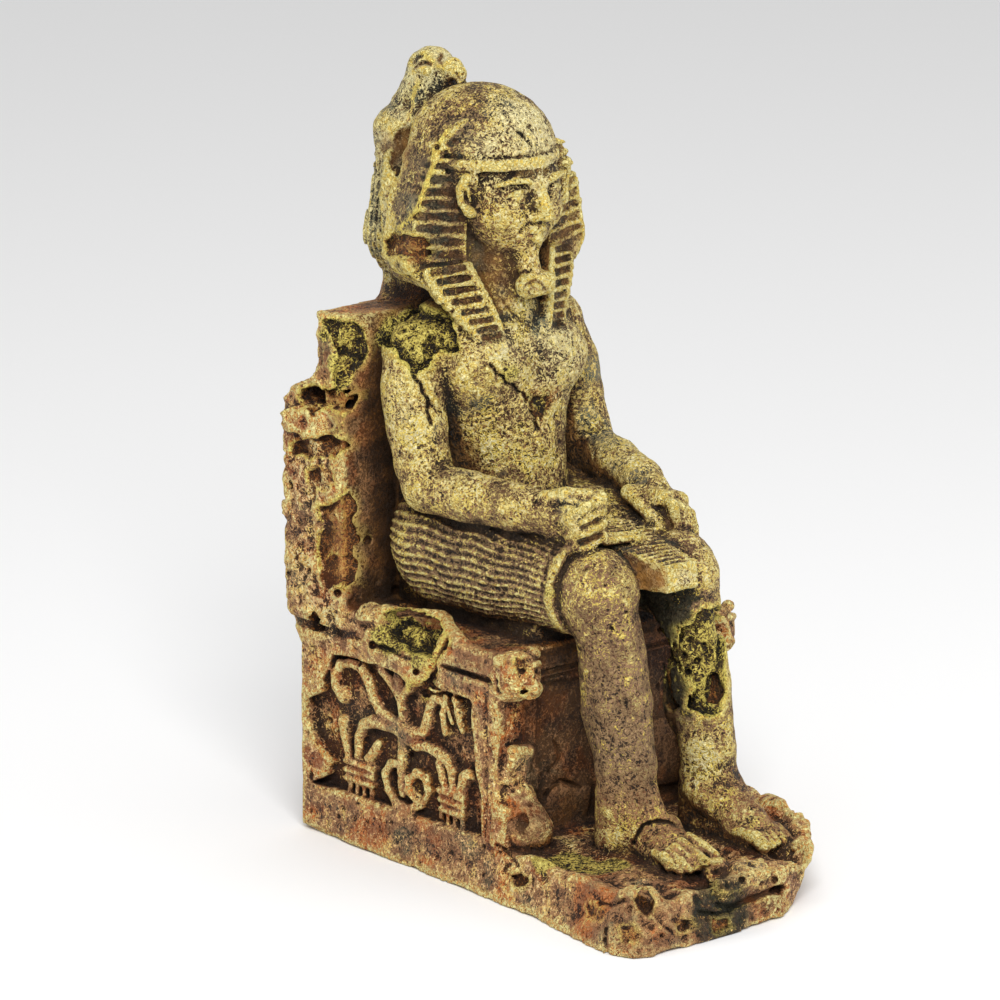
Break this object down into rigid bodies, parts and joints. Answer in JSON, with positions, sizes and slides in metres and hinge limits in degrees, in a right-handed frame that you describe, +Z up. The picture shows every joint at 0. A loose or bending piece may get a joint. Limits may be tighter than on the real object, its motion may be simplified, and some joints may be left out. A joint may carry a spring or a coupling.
{
  "type": "egyptian pharaoh statue",
  "caption": "Small cast figure of a seated pharaoh with a falcon behind the head, on a block throne and low plinth made as a weathered ruin; stands free as an ornament",
  "frame": {"origin": "in the flat underside of the plinth, on the figure's centre plane, about halfway between its front and back edges", "axes": "+Z up, the figure faces -Y, +X is the figure's left side"},
  "size_m": [0.0731, 0.1138, 0.1572],
  "materials": {
    "cast_stone": "matt stone-filled resin, brown with a dark wash and pale yellow dry-brushed edges"
  },
  "bodies": {
    "root": {"pharaoh_statue": "cast_stone"}
  },
  "joints": []
}
